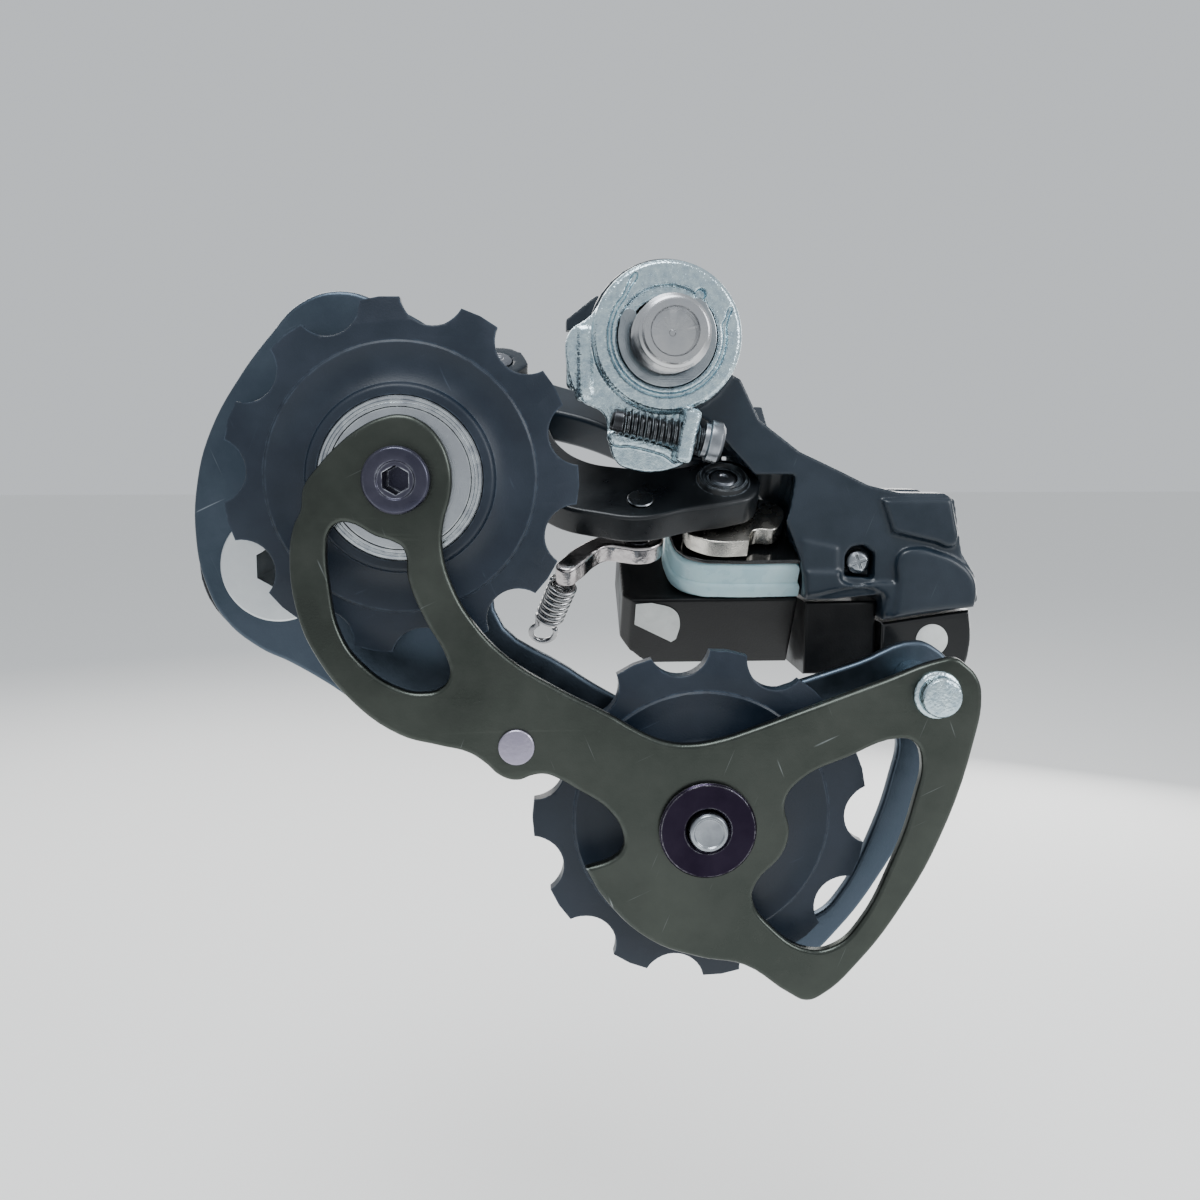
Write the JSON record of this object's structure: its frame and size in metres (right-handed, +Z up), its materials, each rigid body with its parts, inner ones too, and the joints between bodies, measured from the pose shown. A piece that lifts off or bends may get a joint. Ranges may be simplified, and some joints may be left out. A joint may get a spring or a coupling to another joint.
{
  "type": "rear bicycle derailleur",
  "caption": "Short cage rear derailleur: a motor driven slant parallelogram carries a sprung cage with two toothed pulleys and hangs from a hanger bolt",
  "frame": {"origin": "on the hanger bolt's axis, in the plane of the washer plate's face that rests against the frame's hanger", "axes": "+X towards the front of the bicycle, +Y towards the wheel, along the hanger bolt, +Z up"},
  "size_m": [0.1057, 0.0617, 0.0952],
  "materials": {
    "zinc_plate": "bright zinc plate",
    "steel": "machined steel",
    "dark_steel": "dark plated steel",
    "black_washer": "dark polished plate",
    "lilac_rivet": "lilac passivated steel",
    "inner_plate": "satin anodised, dark olive grey, worn edges",
    "outer_plate": "satin anodised, blue grey, brushed worn edges",
    "gloss_black": "gloss black paint",
    "link_black": "black anodised",
    "casing": "moulded black",
    "gasket": "milky pale blue moulding",
    "pulley_resin": "dark blue grey resin",
    "rubber": "matt",
    "badge": "plain off white label",
    "bronze": "plain bearing bronze",
    "board": "green laminate"
  },
  "bodies": {
    "mount": {"b_washer_plate": "zinc_plate", "axle_retaining_ring": "steel", "hanger_bolt": "steel"},
    "b_screw": {"b_adjust_screw": "dark_steel"},
    "b_knuckle": {"b_knuckle": "gloss_black", "b_bush": "bronze", "b_seal_ring": "rubber", "b_spring": "steel", "rear_cover": "gloss_black", "case_end_cover": "casing", "cover_screw": "zinc_plate", "cable_socket": "rubber", "cover_badge": "badge", "outer_pin_rear": "steel", "motor_case": "casing", "motor_gasket": "gasket", "motor_top_plate": "casing", "motor_can": "steel", "circuit_board": "board", "position_sensor": "casing"},
    "high_limit": {"high_limit_screw": "dark_steel"},
    "low_limit": {"low_limit_screw": "dark_steel"},
    "worm": {"motor_worm": "bronze"},
    "reduction": {"reduction_gear": "bronze"},
    "output": {"output_cam": "steel"},
    "inner_link": {"inner_link": "link_black", "inner_pin_rear": "dark_steel", "lever_rivet": "zinc_plate", "overload_spring": "steel"},
    "overload_lever": {"overload_lever": "steel"},
    "outer_link": {"outer_link": "gloss_black"},
    "cage_knuckle": {"cage_knuckle": "gloss_black", "inner_pin_front": "dark_steel", "outer_pin_front": "steel", "cage_pivot_bush": "bronze", "cage_spring": "steel", "cage_seal_ring": "rubber", "cage_knuckle_cap": "gloss_black"},
    "cage": {"cage_outer_plate": "outer_plate", "cage_inner_plate": "inner_plate", "cage_axle": "zinc_plate", "cage_stop_pin": "steel", "cage_rivet": "lilac_rivet", "cage_spacer_pin": "zinc_plate", "guide_bolt": "dark_steel", "tension_bolt": "dark_steel", "tension_washer": "black_washer", "guide_bush": "steel", "tension_bush": "bronze"},
    "guide_pulley": {"guide_pulley": "pulley_resin", "guide_bearing_ring": "steel", "guide_shield_inboard": "zinc_plate", "guide_shield_outboard": "zinc_plate"},
    "tension_pulley": {"tension_pulley": "pulley_resin", "tension_cap_inboard": "steel", "tension_cap_outboard": "steel"}
  },
  "joints": [
    {"name": "b_pivot", "type": "hinge", "parent": "mount", "child": "b_knuckle", "pos_m": [0, 0, 0], "axis": [0, -1, 0], "range_deg": [0, 25], "stiffness_Nm_per_rad": 1, "springref_deg": -34.38},
    {"name": "b_screw_turn", "type": "slide", "parent": "mount", "child": "b_screw", "axis": [0.9763, 0, 0.2164], "range_m": [-0.003, 0.0008]},
    {"name": "high_limit_turn", "type": "slide", "parent": "b_knuckle", "child": "high_limit", "axis": [0, 1, 0], "range_m": [-0.003, 0.0015]},
    {"name": "low_limit_turn", "type": "slide", "parent": "b_knuckle", "child": "low_limit", "axis": [0, 1, 0], "range_m": [-0.003, 0.0015]},
    {"name": "shift", "type": "hinge", "parent": "b_knuckle", "child": "inner_link", "pos_m": [-0.0086, -0.006, -0.0192], "axis": [0, 0.5592, 0.829], "range_deg": [0, 81]},
    {"name": "output_turn", "type": "hinge", "parent": "b_knuckle", "child": "output", "pos_m": [-0.0086, -0.01047, -0.02583], "axis": [0, 0.5592, 0.829], "range_deg": [0, 81]},
    {"name": "reduction_turn", "type": "hinge", "parent": "b_knuckle", "child": "reduction", "pos_m": [-0.015, -0.0119, -0.03331], "axis": [0, 0.5592, 0.829], "range_deg": [-180, 0]},
    {"name": "worm_turn", "type": "hinge", "parent": "b_knuckle", "child": "worm", "pos_m": [-0.0116, -0.0179, -0.03397], "axis": [1, 0, 0], "continuous": true},
    {"name": "outer_link_turn", "type": "hinge", "parent": "b_knuckle", "child": "outer_link", "pos_m": [-0.0066, -0.01957, -0.01608], "axis": [0, 0.5592, 0.829], "range_deg": [0, 81]},
    {"name": "knuckle_turn", "type": "hinge", "parent": "inner_link", "child": "cage_knuckle", "pos_m": [0.02084, -0.02289, -0.01384], "axis": [0, 0.5592, 0.829], "range_deg": [-81, 0]},
    {"name": "overload_turn", "type": "hinge", "parent": "inner_link", "child": "overload_lever", "pos_m": [0.0033, -0.00627, -0.02746], "axis": [0, 0.5592, 0.829], "range_deg": [0, 12], "stiffness_Nm_per_rad": 0.05, "springref_deg": -17.19},
    {"name": "cage_pivot", "type": "hinge", "parent": "cage_knuckle", "child": "cage", "pos_m": [0.0502, 0, -0.0293], "axis": [0, -1, 0], "range_deg": [0, 90], "stiffness_Nm_per_rad": 0.12, "springref_deg": -114.59},
    {"name": "guide_spin", "type": "hinge", "parent": "cage", "child": "guide_pulley", "pos_m": [0.034, 0.012, -0.0181], "axis": [0, 1, 0], "continuous": true},
    {"name": "tension_spin", "type": "hinge", "parent": "cage", "child": "tension_pulley", "pos_m": [-0.0033, 0.012, -0.0615], "axis": [0, 1, 0], "continuous": true}
  ],
  "couplings": [
    {"joint": "output_turn", "follows": "shift", "ratio": 1},
    {"joint": "reduction_turn", "follows": "shift", "ratio": -2.1111},
    {"joint": "outer_link_turn", "follows": "shift", "ratio": 1},
    {"joint": "knuckle_turn", "follows": "shift", "ratio": -1}
  ]
}
